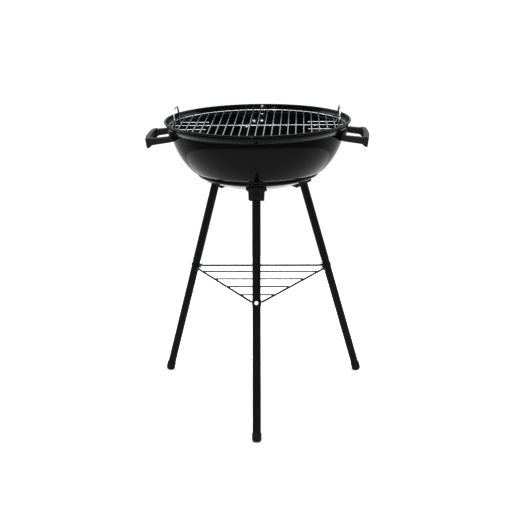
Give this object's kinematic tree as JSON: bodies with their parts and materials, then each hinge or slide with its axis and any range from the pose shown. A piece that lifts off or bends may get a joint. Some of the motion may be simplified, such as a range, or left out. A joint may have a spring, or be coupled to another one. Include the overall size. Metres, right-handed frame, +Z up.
{
  "type": "kettle charcoal grill",
  "caption": "Round enamelled kettle grill bowl on a splayed tripod, with a wire cooking grate, charcoal grate, bottom vent, side handles and a triangular wire shelf.",
  "frame": {"origin": "on the floor, in the middle of the outline; the bowl's upright axis is 37.3 mm behind it (+Y)", "axes": "+Z up; +X towards the right handle; -Y towards the single front leg"},
  "size_m": [0.523, 0.5143, 0.7218],
  "materials": {
    "black_enamel": "glossy porcelain enamel on pressed steel",
    "black_tube_paint": "satin black paint on steel",
    "black_wire_paint": "satin black paint on steel wire",
    "black_plastic": "moulded, fine matte grain",
    "chrome_wire": "plated steel wire",
    "zinc": "bright zinc plating"
  },
  "bodies": {
    "stand": {"bowl": "black_enamel", "vent_rivet": "zinc", "shelf": "black_wire_paint", "handle_right": "black_plastic", "handle_screw_right_front": "zinc", "handle_nut_right_front": "zinc", "handle_screw_right_back": "zinc", "handle_nut_right_back": "zinc", "handle_left": "black_plastic", "handle_screw_left_front": "zinc", "handle_nut_left_front": "zinc", "handle_screw_left_back": "zinc", "handle_nut_left_back": "zinc", "leg_front": "black_tube_paint", "foot_front": "black_plastic", "leg_socket_front": "black_plastic", "leg_screw_front": "zinc", "shelf_screw_front": "zinc", "shelf_nut_front": "zinc", "socket_bolt_front": "zinc", "socket_nut_front": "zinc", "leg_right": "black_tube_paint", "foot_right": "black_plastic", "leg_socket_right": "black_plastic", "leg_screw_right": "zinc", "shelf_screw_right": "zinc", "shelf_nut_right": "zinc", "socket_bolt_right": "zinc", "socket_nut_right": "zinc", "leg_left": "black_tube_paint", "foot_left": "black_plastic", "leg_socket_left": "black_plastic", "leg_screw_left": "zinc", "shelf_screw_left": "zinc", "shelf_nut_left": "zinc", "socket_bolt_left": "zinc", "socket_nut_left": "zinc"},
    "cooking_grate": {"cooking_grate": "chrome_wire", "grate_loop_right": "chrome_wire", "grate_loop_left": "chrome_wire"},
    "charcoal_grate": {"charcoal_grate": "chrome_wire"},
    "vent_damper": {"vent_damper": "black_tube_paint"}
  },
  "joints": [
    {"name": "cooking_grate_lift", "type": "slide", "parent": "stand", "child": "cooking_grate", "axis": [0, 0, 1], "range_m": [0, 0.25]},
    {"name": "charcoal_grate_lift", "type": "slide", "parent": "stand", "child": "charcoal_grate", "axis": [0, 0, 1], "range_m": [0, 0.085]},
    {"name": "damper_turn", "type": "hinge", "parent": "stand", "child": "vent_damper", "pos_m": [0, 0.0373, 0.533], "axis": [0, 0, 1], "range_deg": [0, 45]}
  ]
}
